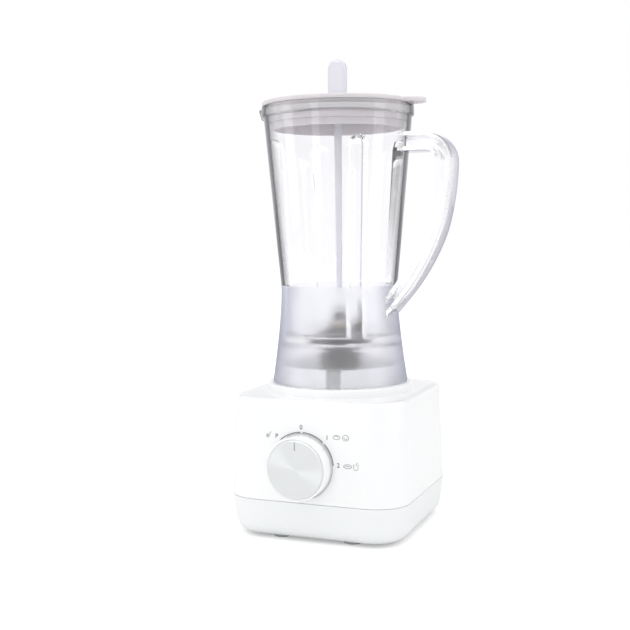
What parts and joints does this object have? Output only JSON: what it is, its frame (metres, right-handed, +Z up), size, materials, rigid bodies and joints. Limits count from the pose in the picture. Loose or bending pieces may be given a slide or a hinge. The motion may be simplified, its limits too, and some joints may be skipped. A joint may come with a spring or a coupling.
{
  "type": "countertop blender",
  "caption": "Countertop blender: square white motor base with speed knob, clear lift-off jar with frosted skirt and handle, blade unit, stepped lid and stirrer.",
  "frame": {"origin": "on the surface that the feet stand on, below the middle of the whole object's box", "axes": "+Z up along the motor axis, -Y towards the knob, +X towards the jar handle"},
  "size_m": [0.1778, 0.181, 0.3951],
  "materials": {
    "white_plastic": "glossy white moulded plastic",
    "cover_plastic": "white moulded plastic, slightly greyer",
    "seat_plastic": "white moulded plastic",
    "rubber": "soft grey rubber",
    "screw_steel": "zinc plated steel",
    "motor_steel": "laminated electrical steel",
    "bracket_metal": "die cast",
    "copper_winding": "enamelled copper wire",
    "brass": "turned brass",
    "commutator_copper": "copper segments",
    "carbon": "carbon brush",
    "black_plastic": "black glass-filled plastic",
    "black_rubber": "moulded rubber coupling",
    "knob_metal": "turned, radially brushed",
    "shaft_steel": "ground steel",
    "blade_steel": "stainless steel, ground edges",
    "clear_jar": "clear moulded plastic, frosted skirt",
    "clear_handle": "clear moulded plastic",
    "lid_plastic": "pale grey moulded plastic",
    "clear_seal": "silicone",
    "stirrer_plastic": "translucent moulded plastic"
  },
  "bodies": {
    "base": {"bottom_cover": "cover_plastic", "rubber_feet": "rubber", "cover_screws": "screw_steel", "upper_housing": "white_plastic", "jar_seat": "seat_plastic", "seat_screws": "screw_steel", "stator_core": "motor_steel", "field_windings": "copper_winding", "lower_motor_bracket": "bracket_metal", "upper_motor_bracket": "bracket_metal", "lower_bearing": "brass", "upper_bearing": "brass", "motor_through_bolts": "screw_steel", "motor_grommets": "black_rubber", "motor_screws": "screw_steel", "brush_holders": "black_plastic", "carbon_brushes": "carbon", "brush_springs": "screw_steel", "rotary_switch": "black_plastic", "cord_gland": "white_plastic", "terminal_block": "black_plastic"},
    "speed_knob": {"knob": "white_plastic", "knob_face_plate": "knob_metal", "switch_spindle": "shaft_steel"},
    "motor_rotor": {"motor_shaft": "shaft_steel", "rotor_core": "motor_steel", "rotor_windings": "copper_winding", "commutator": "commutator_copper", "cooling_fan": "black_plastic", "drive_coupling": "black_rubber"},
    "jar": {"jar_body": "clear_jar", "jar_handle": "clear_handle", "blade_bearing_housing": "black_plastic", "jar_gasket": "clear_seal", "jar_lock_nut": "black_plastic", "spindle_bush": "brass"},
    "blade_set": {"lower_blade": "blade_steel", "upper_blade": "blade_steel", "blade_spacer": "shaft_steel", "thrust_washer": "brass", "blade_spindle": "shaft_steel", "blade_nut": "shaft_steel", "driven_coupling": "black_rubber"},
    "lid": {"lid": "lid_plastic", "lid_seal": "clear_seal"},
    "stirrer": {"stirrer": "stirrer_plastic"}
  },
  "joints": [
    {"name": "knob_turn", "type": "hinge", "parent": "base", "child": "speed_knob", "pos_m": [-0.0172, -0.084, 0.0638], "axis": [0, 1, 0], "range_deg": [-45, 90]},
    {"name": "motor_spin", "type": "hinge", "parent": "base", "child": "motor_rotor", "pos_m": [-0.0116, 0, 0.066], "axis": [0, 0, 1], "continuous": true},
    {"name": "jar_lift", "type": "slide", "parent": "base", "child": "jar", "axis": [0, 0, 1], "range_m": [0, 0.05]},
    {"name": "blade_spin", "type": "hinge", "parent": "jar", "child": "blade_set", "pos_m": [-0.0116, 0, 0.16], "axis": [0, 0, 1], "continuous": true},
    {"name": "lid_lift", "type": "slide", "parent": "jar", "child": "lid", "axis": [0, 0, 1], "range_m": [0, 0.06]},
    {"name": "stirrer_lift", "type": "slide", "parent": "lid", "child": "stirrer", "axis": [0, 0, 1], "range_m": [0, 0.17]}
  ],
  "couplings": [
    {"joint": "blade_spin", "follows": "motor_spin", "ratio": 1}
  ]
}
